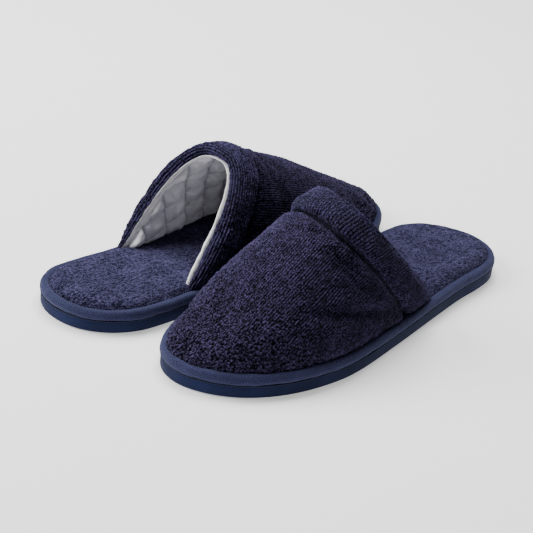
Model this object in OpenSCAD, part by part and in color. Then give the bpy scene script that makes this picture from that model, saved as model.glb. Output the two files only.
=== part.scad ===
// A pair of closed-toe spa slippers, each a stack of separate sewn and glued pieces.
// One slipper is drawn with its heel at y = 0, its toe along +Y and its inner (big toe) side
// along +X. The right slipper is the mirror image. The two lie side by side, heel to toe.

/* [Sole] */
// Length of the sole
sole_l = 280; // [250:1:300]
// Width of the sole at the ball of the foot
ball_w = 101; // [94:1:104]
// Thickness of the moulded foam outsole
outsole_t = 6.8; // [4:0.1:8]
// Depth of the tread grooves
tread_depth = 0.8; // [0.4:0.1:1.5]
// Pitch of the tread grooves along the sole
tread_pitch = 10; // [8:1:16]
// Thickness of the stiffening board
board_t = 1.2; // [1:0.1:1.5]
// Thickness of the insole foam
foam_t = 3; // [2:0.1:3.2]
// Rise of the terry insole from its edge to its middle
crown_h = 4.5; // [2:0.1:5]

/* [Binding] */
// Width of the binding tape, seen from above
binding_w = 5; // [4:0.1:6]
// Height of the binding tape
binding_h = 5.4; // [4:0.1:7]
// Thickness of the seam cord under the binding
seam_d = 0.6; // [0.4:0.1:0.8]

/* [Upper] */
// Height of the upper above its base at the rim
rim_h = 65; // [50:1:75]
// Squareness of the arch: 1 is an ellipse, less is squarer
arch_power = 0.78; // [0.65:0.01:1]
// Thickness of the terry cloth
terry_t = 2; // [1.5:0.1:2.2]
// Thickness of the wadding inside the upper
wadding_t = 2.9; // [2:0.1:3.2]
// Thickness of the quilted lining
lining_t = 1.5; // [1:0.1:2]
// How far the cuff stands out from the upper
cuff_puff = 3; // [1.5:0.1:3.4]

/* [Left slipper] */
// Distance from the heel to the opening, on the outer side
left_throat_outer = 106; // [90:1:120]
// Distance from the heel to the opening, on the inner side
left_throat_inner = 84; // [75:1:110]
// How much further forward the opening is on top than at its sides
left_slant = 66; // [40:1:70]
// Width of the folded cuff
left_cuff_w = 30; // [22:1:32]

/* [Right slipper] */
// Distance from the heel to the opening, on the outer side
right_throat_outer = 70; // [70:1:120]
// Distance from the heel to the opening, on the inner side
right_throat_inner = 77; // [70:1:110]
// How much further forward the opening is on top than at its sides
right_slant = 49; // [40:1:70]
// Width of the folded cuff
right_cuff_w = 22; // [20:1:32]

/* [Arrangement] */
// Distance between the middles of the two soles
pair_spacing = 93; // [93:0.5:120]
// Distance by which the left slipper lies further back along Y
pair_stagger = 1.5; // [-10:0.5:10]
// Angle by which each slipper turns from the row's Y axis
toe_angle = 0.8; // [0:0.1:1]

/* [Hidden] */

// Index of each slipper in the lists below
LEFT = 0;
RIGHT = 1;
throat_outer = [left_throat_outer, right_throat_outer];
throat_inner = [left_throat_inner, right_throat_inner];
slant = [left_slant, right_slant];
cuff_w = [left_cuff_w, right_cuff_w];

// Colours
navy_terry = [0.11, 0.11, 0.19];
navy_tape = [0.16, 0.18, 0.29];
navy_sole = [0.08, 0.10, 0.18];
white_satin = [0.90, 0.90, 0.92];
grey_fibre = [0.45, 0.45, 0.45];
white_wadding = [0.95, 0.95, 0.93];

// Sole outline of the left slipper, from the heel along its inner side to the toe and back:
// points on a sole 280 mm long and 101.5 mm wide
outline_shape = [
  [0, 0], [17, 2.5], [31, 11], [39, 24], [40.5, 40], [38.5, 70], [39, 100], [45, 150], [50, 190],
  [49.5, 212], [45, 235], [37, 258], [24.5, 274], [8, 280], [-9, 277], [-24, 268], [-36, 254],
  [-45, 235], [-51, 208], [-51.5, 190], [-48, 150], [-42.5, 100], [-39.5, 70], [-38.5, 45],
  [-35.5, 27], [-27, 12.5], [-14, 3]
];
toe_ctrl = 13;
outline_ctrl = [for (p = outline_shape) [p.x * ball_w / 101.5, p.y * sole_l / 280]];
// Points on the curve between two neighbouring control points
seg_steps = 3;
n_ctrl = len(outline_ctrl);
n_out = n_ctrl * seg_steps;
toe_i = toe_ctrl * seg_steps;

// Heights
gap = 0.2;
board_z = outsole_t + gap;
foam_z = board_z + board_t + gap;
cover_z = foam_z + foam_t + gap;
cover_edge_t = 0.8;
seam_z = outsole_t + 0.1;
binding_z = seam_z + seam_d + 0.1;
binding_top = binding_z + binding_h;
outsole_inset = 0.6;
inner_inset = binding_w + 0.5;
cover_inset = binding_w + 1.4;

// The upper stands on the binding, 4 mm in from the sole's edge
upper_inset = 4;
upper_z = binding_top + 0.3;
profile_a = 1.5;
profile_b = 1.5;
slant_power = 1.25;
// Length along the upper's base that the fraction f counts as 1
base_run = 200;
f_steps = 16;
arch_steps = 18;
cuff_steps = 22;

// Depths of the layers, measured inwards from the upper's outer face
layer_gap = 0.3;
wadding_d = terry_t + layer_gap;
lining_d = wadding_d + wadding_t + layer_gap;
edge_strip_w = 5;

// ---- Curves ----

// Centripetal Catmull-Rom curve between p1 and p2
function knot(t, a, b) = t + sqrt(max(norm(b - a), 0.001));
function blend(a, b, ta, tb, t) = a * (tb - t) / (tb - ta) + b * (t - ta) / (tb - ta);
function curve_pt(p0, p1, p2, p3, u) =
  let (t1 = knot(0, p0, p1), t2 = knot(t1, p1, p2), t3 = knot(t2, p2, p3))
  let (t = t1 + u * (t2 - t1))
  let (a1 = blend(p0, p1, 0, t1, t), a2 = blend(p1, p2, t1, t2, t), a3 = blend(p2, p3, t2, t3, t))
  let (b1 = blend(a1, a2, 0, t2, t), b2 = blend(a2, a3, t1, t3, t))
  blend(b1, b2, t1, t2, t);

outline = [
  for (i = [0:n_ctrl - 1], j = [0:seg_steps - 1])
    curve_pt(
      outline_ctrl[(i + n_ctrl - 1) % n_ctrl],
      outline_ctrl[i],
      outline_ctrl[(i + 1) % n_ctrl],
      outline_ctrl[(i + 2) % n_ctrl],
      j / seg_steps
    )
];

// The outline runs counter-clockwise, so its inward side is on the left
function inset(p, d) = [
  for (i = [0:len(p) - 1])
    let (t = p[(i + 1) % len(p)] - p[(i + len(p) - 1) % len(p)])
    p[i] + d * [-t.y, t.x] / norm(t)
];

// Running length at each point of a path
function run_lengths(p) = [
  for (i = 0, s = 0; i < len(p); s = s + (i + 1 < len(p) ? norm(p[i + 1] - p[i]) : 0), i = i + 1) s
];

// The two sides of the sole from the toe tip back to the heel, as [length, x, y]
function with_length(p) = let (s = run_lengths(p)) [for (i = [0:len(p) - 1]) [s[i], p[i].x, p[i].y]];
function inner_side(p) = with_length([for (i = [toe_i:-1:0]) p[i]]);
function outer_side(p) = with_length([for (i = [toe_i:n_out]) p[i % n_out]]);
function side_at(side, s) = [
  lookup(s, [for (q = side) [q[0], q[1]]]),
  lookup(s, [for (q = side) [q[0], q[2]]])
];
// Length from the toe tip at which a side passes the given y, past the heel's round end
function length_at_y(side, y) = lookup(y, [for (q = side) if (q[2] > 30) [q[2], q[0]]]);

// ---- The surface of the upper ----

function rise(f) = pow(1 - pow(min(max(f, 0), 1), profile_a), profile_b);
function signed_pow(v, e) = sign(v) * pow(abs(v), e);

// One arch across the upper: f is 0 at the rim and 1 at the toe, d is the depth inwards
function arch(side_a, side_b, s, f, d, steps) =
  let (run_a = length_at_y(side_a, throat_outer[s]), run_b = length_at_y(side_b, throat_inner[s]))
  let (a = side_at(side_a, (1 - f) * run_a), b = side_at(side_b, (1 - f) * run_b))
  let (mid = (a + b) / 2, half = (b - a) / 2, h = (rim_h - d) * rise(f))
  [
    for (j = [0:steps])
      let (c = signed_pow(cos(180 * j / steps), arch_power))
      let (e = pow(max(sin(180 * j / steps), 0), arch_power))
      [
        mid.x - half.x * c,
        mid.y - half.y * c + slant[s] * pow(1 - f, slant_power) * e,
        upper_z + h * e
      ]
  ];

// Arches at several values of f on one layer
function layer(s, d, fs, steps) =
  let (base = inset(outline, upper_inset + d))
  let (side_a = outer_side(base), side_b = inner_side(base))
  [for (f = fs) arch(side_a, side_b, s, f, d, steps)];

// ---- Solids from rows of points ----

function flat(rows) = [for (r = rows) for (p = r) p];
// Two triangles for each cell of a grid with w points in a row; wrap joins the row's ends
function grid_faces(rows, w, first, wrap, flip) = [
  for (i = [0:rows - 2], j = [0:w - (wrap ? 1 : 2)])
    let (a = first + i * w + j, b = first + i * w + (j + 1) % w)
    for (t = [[a, b, b + w], [a, b + w, a + w]]) flip ? [t[2], t[1], t[0]] : t
];

// A closed shell between an outer and an inner layer that both end in one point at the toe
module shell(s, d_out, d_in, f0) {
  fs = [for (i = [0:f_steps - 1]) f0 + (1 - f0) * i / f_steps];
  w = arch_steps + 1;
  n = f_steps * w;
  tip_out = layer(s, d_out, [1], arch_steps)[0][0];
  tip_in = layer(s, d_in, [1], arch_steps)[0][0];
  pts = concat(flat(layer(s, d_out, fs, arch_steps)), flat(layer(s, d_in, fs, arch_steps)), [tip_out, tip_in]);
  last_row = (f_steps - 1) * w;
  faces = concat(
    grid_faces(f_steps, w, 0, false, false),
    grid_faces(f_steps, w, n, false, true),
    [for (j = [0:w - 2]) [last_row + j, last_row + j + 1, 2 * n]],
    [for (j = [0:w - 2]) [n + last_row + j + 1, n + last_row + j, 2 * n + 1]],
    [for (j = [0:w - 2]) for (t = [[j + 1, j, n + j], [j + 1, n + j, n + j + 1]]) t],
    [for (i = [0:f_steps - 2]) let (a = i * w) for (t = [[a, a + w, n + a + w], [a, n + a + w, n + a]]) t],
    [
      for (i = [0:f_steps - 2])
        let (a = i * w + w - 1)
        for (t = [[a + w, a, n + a], [a + w, n + a, n + a + w]]) t
    ],
    [[last_row, 2 * n, 2 * n + 1], [last_row, 2 * n + 1, n + last_row]],
    [[2 * n, last_row + w - 1, n + last_row + w - 1], [2 * n, n + last_row + w - 1, 2 * n + 1]]
  );
  polyhedron(pts, [for (t = faces) [t[2], t[1], t[0]]]);
}

// A solid of constant section that follows the arch of the opening. Each section point is
// [distance from the rim, depth inwards].
module arch_sweep(s, section, steps) {
  m = len(section);
  lines = [for (q = section) layer(s, q[1], [q[0] / base_run], steps)[0]];
  pts = [for (j = [0:steps]) for (i = [0:m - 1]) lines[i][j]];
  faces = concat(
    grid_faces(steps + 1, m, 0, true, false),
    [[for (i = [m - 1:-1:0]) i]],
    [[for (i = [0:m - 1]) steps * m + i]]
  );
  polyhedron(pts, [for (t = faces) [for (k = [len(t) - 1:-1:0]) t[k]]]);
}

// A ring that follows the sole's edge. Each section point is [inset, z].
module edge_ring(section) {
  m = len(section);
  loops = [for (q = section) inset(outline, q[0])];
  pts = [for (i = [0:n_out - 1]) for (k = [0:m - 1]) [loops[k][i].x, loops[k][i].y, section[k][1]]];
  faces = [
    for (i = [0:n_out - 1], k = [0:m - 1])
      let (a = i * m + k, b = i * m + (k + 1) % m)
      let (c = ((i + 1) % n_out) * m + k, e = ((i + 1) % n_out) * m + (k + 1) % m)
      for (t = [[a, b, e], [a, e, c]]) t
  ];
  polyhedron(pts, faces);
}

module sole_slab(d, z, t) {
  translate([0, 0, z])
    linear_extrude(t)
      polygon(inset(outline, d));
}

// ---- Pieces of one slipper ----

module outsole(s) {
  groove_w = 2.5;
  groove_margin = 9;
  color(navy_sole)
    difference() {
      sole_slab(outsole_inset, 0, outsole_t);
      translate([0, 0, -1])
        linear_extrude(1 + tread_depth)
          intersection() {
            polygon(inset(outline, groove_margin));
            for (y = [groove_margin * 2:tread_pitch:sole_l - groove_margin * 2])
              translate([-sole_l / 2, y])
                square([sole_l, groove_w]);
          }
    }
}

module insole_board(s) {
  color(grey_fibre)
    sole_slab(inner_inset, board_z, board_t);
}

module insole_foam(s) {
  color(white_wadding)
    sole_slab(inner_inset, foam_z, foam_t);
}

// Terry insole: rings that shrink towards the sole's middle line and rise to a crown
module insole_cover(s) {
  edge = inset(outline, cover_inset);
  heel_end = sole_l / 7;
  toe_end = sole_l * 0.84;
  shrink = [0, 0, 0.12, 0.3, 0.52, 0.78];
  rings = len(shrink);
  top_z = cover_z + cover_edge_t;
  pts = [
    for (k = [0:rings - 1]) for (p = edge)
      let (spine = [0, min(max(p.y, heel_end), toe_end)], q = p + (spine - p) * shrink[k])
      [q.x, q.y, k == 0 ? cover_z : top_z + crown_h * pow(shrink[k], 1.2)]
  ];
  faces = concat(
    grid_faces(rings, n_out, 0, true, false),
    [[for (i = [n_out - 1:-1:0]) i]],
    [[for (i = [0:n_out - 1]) (rings - 1) * n_out + i]]
  );
  color(navy_terry)
    polyhedron(pts, [for (t = faces) [for (k = [len(t) - 1:-1:0]) t[k]]]);
}

module edge_binding(s) {
  color(navy_tape)
    edge_ring([
      [0.6, binding_z],
      [0, binding_z + 0.9],
      [0, binding_top - 2.2],
      [0.7, binding_top - 0.8],
      [2, binding_top],
      [binding_w - 0.5, binding_top],
      [binding_w, binding_top - 0.5],
      [binding_w, binding_z]
    ]);
}

module sole_seam(s) {
  seam_inset = 0.3;
  color(navy_sole)
    edge_ring([
      [seam_inset, seam_z],
      [seam_inset, seam_z + seam_d],
      [seam_inset + seam_d, seam_z + seam_d],
      [seam_inset + seam_d, seam_z]
    ]);
}

module vamp_outer(s) {
  color(navy_terry)
    shell(s, 0, terry_t, (cuff_w[s] + 0.8) / base_run);
}

module vamp_wadding(s) {
  color(white_wadding)
    shell(s, wadding_d, wadding_d + wadding_t, (cuff_w[s] + 0.8) / base_run);
}

module vamp_lining(s) {
  color(white_satin)
    shell(s, lining_d, lining_d + lining_t, (edge_strip_w + 2) / base_run);
}

// Folded terry band: a C section that is open towards the lining
module cuff_band(s) {
  w = cuff_w[s];
  color(navy_terry)
    arch_sweep(s, [
      [w - 0.8, terry_t],
      [w - 1.2, -0.4],
      [w * 0.8, -cuff_puff * 0.8],
      [w * 0.5, -cuff_puff],
      [w * 0.2, -cuff_puff * 0.75],
      [-1.2, 0],
      [-2.4, 2.6],
      [-1.8, lining_d - 0.7],
      [0.3, lining_d - 0.3],
      [0.5, lining_d - 1.3],
      [0, 3],
      [w * 0.2, terry_t - cuff_puff * 0.75],
      [w * 0.5, terry_t - cuff_puff],
      [w * 0.8, terry_t - 0.3]
    ], cuff_steps);
}

module cuff_filler(s) {
  w = cuff_w[s];
  color(white_wadding)
    arch_sweep(s, [
      [w * 0.8, terry_t + 0.2],
      [w * 0.5, terry_t - cuff_puff + 0.4],
      [w * 0.22, terry_t - cuff_puff * 0.75 + 0.4],
      [0.6, 3],
      [1.6, lining_d - 0.7],
      [w * 0.8, lining_d - 0.7]
    ], cuff_steps);
}

// White strip that faces the inside of the rim, between the cuff and the quilted lining
module lining_edge(s) {
  strip_d = lining_d + lining_t;
  color(white_satin)
    arch_sweep(s, [
      [-1.2, lining_d],
      [-1.4, strip_d],
      [0.6, strip_d + 0.6],
      [1.6 + edge_strip_w, strip_d],
      [1.6 + edge_strip_w, lining_d]
    ], cuff_steps);
}

module cuff_seam(s) {
  thread = 0.35;
  w = cuff_w[s];
  color(navy_sole)
    arch_sweep(s, [
      [w - thread, 0.6],
      [w + thread, 0.6],
      [w + thread, 0.6 + 2 * thread],
      [w - thread, 0.6 + 2 * thread]
    ], cuff_steps);
}

// ---- The pair ----

// Left slipper points along -Y and the right one along +Y
function turn(p, a) = [p.x * cos(a) - p.y * sin(a), p.x * sin(a) + p.y * cos(a)];
left_c = [pair_spacing / 2, -pair_stagger / 2];
right_c = -left_c;
left_floor = [for (p = outline) left_c + turn(p - [0, sole_l / 2], 180 + toe_angle)];
right_floor = [for (p = outline) right_c + turn([-p.x, p.y - sole_l / 2], -toe_angle)];
floor_x = [for (p = concat(left_floor, right_floor)) p.x];
floor_y = [for (p = concat(left_floor, right_floor)) p.y];
middle = [(min(floor_x) + max(floor_x)) / 2, (min(floor_y) + max(floor_y)) / 2];

module place(s) {
  c = (s == LEFT ? left_c : right_c) - middle;
  translate([c.x, c.y, 0])
    rotate(s == LEFT ? 180 + toe_angle : -toe_angle)
      mirror([s == LEFT ? 0 : 1, 0, 0])
        translate([0, -sole_l / 2, 0])
          children();
}

place(LEFT) outsole(LEFT);  // left_outsole
place(LEFT) insole_board(LEFT);  // left_insole_board
place(LEFT) insole_foam(LEFT);  // left_insole_foam
place(LEFT) insole_cover(LEFT);  // left_insole_cover
place(LEFT) edge_binding(LEFT);  // left_edge_binding
place(LEFT) sole_seam(LEFT);  // left_sole_seam
place(LEFT) vamp_outer(LEFT);  // left_vamp_outer
place(LEFT) vamp_wadding(LEFT);  // left_vamp_wadding
place(LEFT) vamp_lining(LEFT);  // left_vamp_lining
place(LEFT) cuff_band(LEFT);  // left_cuff_band
place(LEFT) cuff_filler(LEFT);  // left_cuff_filler
place(LEFT) lining_edge(LEFT);  // left_lining_edge
place(LEFT) cuff_seam(LEFT);  // left_cuff_seam
place(RIGHT) outsole(RIGHT);  // right_outsole
place(RIGHT) insole_board(RIGHT);  // right_insole_board
place(RIGHT) insole_foam(RIGHT);  // right_insole_foam
place(RIGHT) insole_cover(RIGHT);  // right_insole_cover
place(RIGHT) edge_binding(RIGHT);  // right_edge_binding
place(RIGHT) sole_seam(RIGHT);  // right_sole_seam
place(RIGHT) vamp_outer(RIGHT);  // right_vamp_outer
place(RIGHT) vamp_wadding(RIGHT);  // right_vamp_wadding
place(RIGHT) vamp_lining(RIGHT);  // right_vamp_lining
place(RIGHT) cuff_band(RIGHT);  // right_cuff_band
place(RIGHT) cuff_filler(RIGHT);  // right_cuff_filler
place(RIGHT) lining_edge(RIGHT);  // right_lining_edge
place(RIGHT) cuff_seam(RIGHT);  // right_cuff_seam
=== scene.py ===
import math

import bpy
import numpy as np
from mathutils import Matrix, Vector


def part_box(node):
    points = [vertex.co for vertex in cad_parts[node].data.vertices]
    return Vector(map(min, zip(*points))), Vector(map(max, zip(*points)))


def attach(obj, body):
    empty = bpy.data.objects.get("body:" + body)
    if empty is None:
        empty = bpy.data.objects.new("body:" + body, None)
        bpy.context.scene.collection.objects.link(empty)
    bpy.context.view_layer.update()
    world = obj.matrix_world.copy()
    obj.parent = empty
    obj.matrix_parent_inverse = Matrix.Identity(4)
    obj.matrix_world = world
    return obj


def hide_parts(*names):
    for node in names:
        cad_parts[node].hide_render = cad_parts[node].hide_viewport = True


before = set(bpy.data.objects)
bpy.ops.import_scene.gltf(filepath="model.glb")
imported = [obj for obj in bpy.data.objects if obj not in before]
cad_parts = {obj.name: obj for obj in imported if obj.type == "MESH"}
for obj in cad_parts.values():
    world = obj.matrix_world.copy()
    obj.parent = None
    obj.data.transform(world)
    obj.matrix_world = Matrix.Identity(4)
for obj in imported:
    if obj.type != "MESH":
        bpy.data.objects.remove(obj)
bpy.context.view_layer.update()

# A pair of terry spa slippers. Shapes are worked out in millimetres in each slipper's own frame,
# heel at y = 0, toe along +Y and the inner (big toe) side along +X, then placed by the CAD frame.

MM = 0.001
SIDES = ("left", "right")

# ---- Driving dimensions, as in the CAD model (mm) ----

SOLE_L = 280.0
BALL_W = 101.0
# Control points of the sole's outline, from the heel's tip up the inner side to the toe and back
OUTLINE = [
    (0, 0), (17, 2.5), (31, 11), (39, 24), (40.5, 40), (38.5, 70), (39, 100), (45, 150), (50, 190),
    (49.5, 212), (45, 235), (37, 258), (24.5, 274), (8, 280), (-9, 277), (-24, 268), (-36, 254),
    (-45, 235), (-51, 208), (-51.5, 190), (-48, 150), (-42.5, 100), (-39.5, 70), (-38.5, 45),
    (-35.5, 27), (-27, 12.5), (-14, 3),
]
# The width and length that the control points give, and the number of the one at the toe's tip
OUTLINE_SIZE = (101.5, 280.0)
TOE_CTRL = 13
# How far each toe turns away from the row's direction (degrees)
TOE_ANGLE = 0.8
OUTSOLE_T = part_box("left_outsole")[1][2] / MM
BINDING_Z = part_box("left_edge_binding")[0][2] / MM
BINDING_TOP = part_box("left_edge_binding")[1][2] / MM
COVER_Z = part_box("left_insole_cover")[0][2] / MM
COVER_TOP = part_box("left_insole_cover")[1][2] / MM
UPPER_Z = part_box("left_vamp_outer")[0][2] / MM
# The upper's foot stands this far inside the outline
UPPER_INSET = 4.0
BINDING_W = 5.0
RIM_H = 65.0
# How square the arches are, how their height falls to the toe, and how fast the rim's slant fades
ARCH_POWER = 0.78
PROFILE = 1.5
SLANT_POWER = 1.25
# Nominal length of the upper along the sole's edge, which turns mm from the rim into f
BASE_RUN = 200.0
TERRY_T = 2.0
# Depth of the lining's outer face below the terry's outer face, and its thickness
LINING_D = 5.5
LINING_T = 1.5
# How far the cuff stands out from the upper
CUFF_PUFF = 1.6
# Opening of each slipper: how far from the heel it meets the outer and the inner side of the sole,
# how far its rim slants back, and the cuff's width
THROAT = {"left": (106.0, 84.0, 66.0, 30.0), "right": (70.0, 77.0, 49.0, 22.0)}

# ---- Noise ----


def hash01(cells, seed):
    """Repeatable random numbers from 0 to 1, one for each row of whole-number cells."""
    c = cells.astype(np.int64)
    h = c[..., 0] * 73856093 ^ c[..., 1] * 19349663 ^ c[..., 2] * 83492791 ^ (seed * 2654435761)
    h = (h ^ (h >> 13)) * 1274126177 & 0xFFFFFFFF
    h = (h ^ (h >> 16)) * 2246822519 & 0xFFFFFFFF
    return ((h ^ (h >> 15)) & 0xFFFFFF) / float(0x1000000)


def value_noise(p, size, seed):
    """Smooth noise from -1 to 1 with features about size mm across."""
    q = p / size
    c = np.floor(q)
    t = q - c
    t = t * t * (3 - 2 * t)
    total = np.zeros(p.shape[:-1])
    for dx in (0, 1):
        for dy in (0, 1):
            for dz in (0, 1):
                w = (t[..., 0] if dx else 1 - t[..., 0]) * (t[..., 1] if dy else 1 - t[..., 1])
                w = w * (t[..., 2] if dz else 1 - t[..., 2])
                total += w * hash01(c + np.array([dx, dy, dz]), seed)
    return total * 2 - 1


def nubs(p, pitch, seed):
    """Heights from 0 to 1 of round loops about pitch apart, scattered through space."""
    q = p / pitch
    c = np.floor(q)
    best = np.full(p.shape[:-1], 9.0)
    tall = np.zeros(p.shape[:-1])
    for dx in (-1, 0, 1):
        for dy in (-1, 0, 1):
            for dz in (-1, 0, 1):
                cell = c + np.array([dx, dy, dz])
                centre = cell + 0.5 + 0.8 * (
                    np.stack([hash01(cell, seed + k) for k in (1, 2, 3)], axis=-1) - 0.5
                )
                d = np.linalg.norm(q - centre, axis=-1)
                near = d < best
                best = np.where(near, d, best)
                tall = np.where(near, hash01(cell, seed + 4), tall)
    return np.sqrt(np.clip(1 - (best / 0.72) ** 2, 0, 1)) * (0.55 + 0.45 * tall)


# ---- Curves ----


def closed_curve(ctrl, steps):
    """Centripetal Catmull-Rom curve through the control points, as in the CAD model."""
    pts = np.array(ctrl, float)
    out = []
    n = len(pts)
    for i in range(n):
        p0, p1, p2, p3 = (pts[(i + k) % n] for k in (-1, 0, 1, 2))
        t1 = math.sqrt(np.linalg.norm(p1 - p0))
        t2 = t1 + math.sqrt(np.linalg.norm(p2 - p1))
        t3 = t2 + math.sqrt(np.linalg.norm(p3 - p2))
        for t in np.linspace(t1, t2, steps, endpoint=False):
            a1 = p0 * (t1 - t) / t1 + p1 * t / t1
            a2 = p1 * (t2 - t) / (t2 - t1) + p2 * (t - t1) / (t2 - t1)
            a3 = p2 * (t3 - t) / (t3 - t2) + p3 * (t - t2) / (t3 - t2)
            b1 = a1 * (t2 - t) / t2 + a2 * t / t2
            b2 = a2 * (t3 - t) / (t3 - t1) + a3 * (t - t1) / (t3 - t1)
            out.append(b1 * (t2 - t) / (t2 - t1) + b2 * (t - t1) / (t2 - t1))
    return np.array(out)


def running(p):
    """Distance of each point along a path."""
    return np.concatenate([[0], np.cumsum(np.linalg.norm(np.diff(p, axis=0), axis=1))])


def resample(p, n):
    """n points evenly spaced along an open path."""
    s = running(p)
    at = np.linspace(0, s[-1], n)
    return np.stack([np.interp(at, s, p[:, k]) for k in range(p.shape[1])], axis=1)


def smooth_loop(p, rounds):
    """Rounds off a closed path."""
    for _ in range(rounds):
        p = (np.roll(p, 1, 0) + 2 * p + np.roll(p, -1, 0)) / 4
    return p


def inset(p, d):
    """A closed outline moved d mm inwards."""
    t = np.roll(p, -1, 0) - np.roll(p, 1, 0)
    t /= np.linalg.norm(t, axis=1)[:, None]
    return p + np.stack([-t[:, 1], t[:, 0]], axis=1) * np.reshape(d, (-1, 1))


def unit(v):
    return v / np.maximum(np.linalg.norm(v, axis=-1, keepdims=True), 1e-9)


CURVE_STEPS = 24
HALF = 360
scale = np.array([BALL_W / OUTLINE_SIZE[0], SOLE_L / OUTLINE_SIZE[1]])
curve = closed_curve(np.array(OUTLINE) * scale, CURVE_STEPS)
toe_at = TOE_CTRL * CURVE_STEPS
inner_half = resample(curve[: toe_at + 1], HALF + 1)
outer_half = resample(np.vstack([curve[toe_at:], curve[:1]])[::-1], HALF + 1)
# The outline as one loop: heel tip, up the inner side, toe tip, down the outer side
loop = smooth_loop(np.vstack([inner_half[:-1], outer_half[:0:-1]]), 12)


def halves(d):
    """Inner and outer side of the outline, each from heel to toe, moved d mm inwards."""
    p = inset(loop, d)
    return p[: HALF + 1], np.vstack([p[HALF:], p[:1]])[::-1]


# ---- Placing ----


def turn(p, side):
    """Turns a slipper to its direction in the row: the left one lies end for end."""
    a = math.radians(180 + TOE_ANGLE if side == "left" else -TOE_ANGLE)
    return p @ np.array([[math.cos(a), math.sin(a)], [-math.sin(a), math.cos(a)]])


def turned_middle(side):
    """Middle of the turned sole's box, measured from the middle of the slipper's own frame."""
    x = loop[:, 0] if side == "left" else -loop[:, 0]
    p = turn(np.stack([x, loop[:, 1] - SOLE_L / 2], axis=1), side)
    return (p.min(axis=0) + p.max(axis=0)) / 2


def centre_of(side):
    """Where the CAD frame puts the middle of a slipper's own frame."""
    low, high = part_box(side + "_edge_binding")
    return (np.array(low[:2]) + np.array(high[:2])) / 2 / MM - turned_middle(side)


CENTRE = {side: centre_of(side) for side in SIDES}


def to_row(p, side):
    """Points in a slipper's own frame, in mm, to the row frame, in metres."""
    q = p.reshape(-1, 3).copy()
    if side == "right":
        q[:, 0] *= -1
    q[:, 1] -= SOLE_L / 2
    q[:, :2] = turn(q[:, :2], side) + CENTRE[side]
    return (q * MM).reshape(p.shape)


# ---- The surface of the upper ----


# Steps in which an arch is worked out before it is divided evenly
ARCH_STEPS = 721
# The heel's round end, which is left out when the throat's place is looked up (mm)
HEEL_END = 30.0


def rise(f):
    """Height of the arch at f, from 1 at the rim to 0 at the toe."""
    return (1 - np.clip(f, 0, 1) ** PROFILE) ** PROFILE


def foot_points(half, throat, fs):
    """Where the arches at each f stand on one side of the outline, which runs from toe to heel."""
    s = running(half)
    long_part = half[:, 1] > HEEL_END
    run = np.interp(-throat, -half[long_part, 1], s[long_part])
    at = (1 - fs) * run
    return np.stack([np.interp(at, s, half[:, k]) for k in (0, 1)], axis=1)


def arches(side, fs, n, depth=0.0):
    """Arches across the upper at each f (0 at the rim, 1 at the toe), n even points in each."""
    inner, outer = halves(UPPER_INSET + depth)
    throat_outer, throat_inner, slant, _ = THROAT[side]
    # Round one arch, c runs from 1 to -1 across it and e is its height from 0 to 1
    theta = np.linspace(0, math.pi, ARCH_STEPS)
    c = np.sign(np.cos(theta)) * np.abs(np.cos(theta)) ** ARCH_POWER
    e = np.clip(np.sin(theta), 0, 1) ** ARCH_POWER
    feet = foot_points(outer[::-1], throat_outer, fs), foot_points(inner[::-1], throat_inner, fs)
    rows = []
    for f, a, b in zip(fs, *feet):
        mid, reach = (a + b) / 2, (b - a) / 2
        y = mid[1] - reach[1] * c + slant * (max(1 - f, 0)) ** SLANT_POWER * e
        z = UPPER_Z + (RIM_H - depth) * rise(f) * e
        rows.append(resample(np.stack([mid[0] - reach[0] * c, y, z], axis=1), n))
    return np.array(rows)


def normals(p, close=False):
    """Outward normals of a grid of points."""
    du = np.gradient(p, axis=0)
    dv = np.roll(p, -1, 1) - np.roll(p, 1, 1) if close else np.gradient(p, axis=1)
    return unit(np.cross(du, dv))


def even_fs(side, f0, f1, n, dense=1.0):
    """Values of f that space the arches evenly, or dense times as wide apart at the toe."""
    tries = 400
    f = np.linspace(f0, f1, tries)
    p = arches(side, f, 25)
    step = np.linalg.norm(np.diff(p, axis=0), axis=2).mean(axis=1) / np.linspace(1, dense, tries - 1)
    s = np.concatenate([[0], np.cumsum(step)])
    return np.interp(np.linspace(0, s[-1], n), s, f)


# ---- Meshes ----


def grid_quads(rows, cols, first=0, close_rows=False, close_cols=False):
    """Faces of a grid of points whose numbers start at first."""
    i = np.arange(rows if close_rows else rows - 1)
    j = np.arange(cols if close_cols else cols - 1)
    i, j = np.meshgrid(i, j, indexing="ij")
    i2, j2 = (i + 1) % rows, (j + 1) % cols
    q = np.stack([i * cols + j, i2 * cols + j, i2 * cols + j2, i * cols + j2], axis=-1)
    return q.reshape(-1, 4) + first


def make_piece(side, name, node, look, points, faces, fill=None, **layers):
    """A piece from points in a slipper's own frame, in place of a CAD node. look names its material
    and slot. layers hold a number or a vector for each point: pile is the height of the pile from 0
    to 1, which the materials also turn into colour, darkest at 0 as painted shade, and cloth is where
    a point lies in its cloth, in mm."""
    name = side + "_" + name
    mesh = bpy.data.meshes.new(name)
    faces = [list(f)[::-1] if side == "right" else list(f) for f in faces]
    mesh.from_pydata(to_row(points.reshape(-1, 3), side).tolist(), [], faces)
    for key, values in layers.items():
        values = np.asarray(values, np.float32)
        if values.ndim == 1:
            layer = mesh.attributes.new(key, "FLOAT", "POINT")
            layer.data.foreach_set("value", values)
        else:
            layer = mesh.attributes.new(key, "FLOAT_VECTOR", "POINT")
            layer.data.foreach_set("vector", values.ravel())
    mesh.shade_smooth()
    obj = bpy.data.objects.new(name, mesh)
    bpy.context.scene.collection.objects.link(obj)
    mesh.materials.append(MATERIALS[look])
    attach(obj, side + "_slipper")
    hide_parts(side + "_" + node)


def join_faces(*groups):
    """Groups of faces as one list."""
    return [f for g in groups for f in g]


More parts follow.
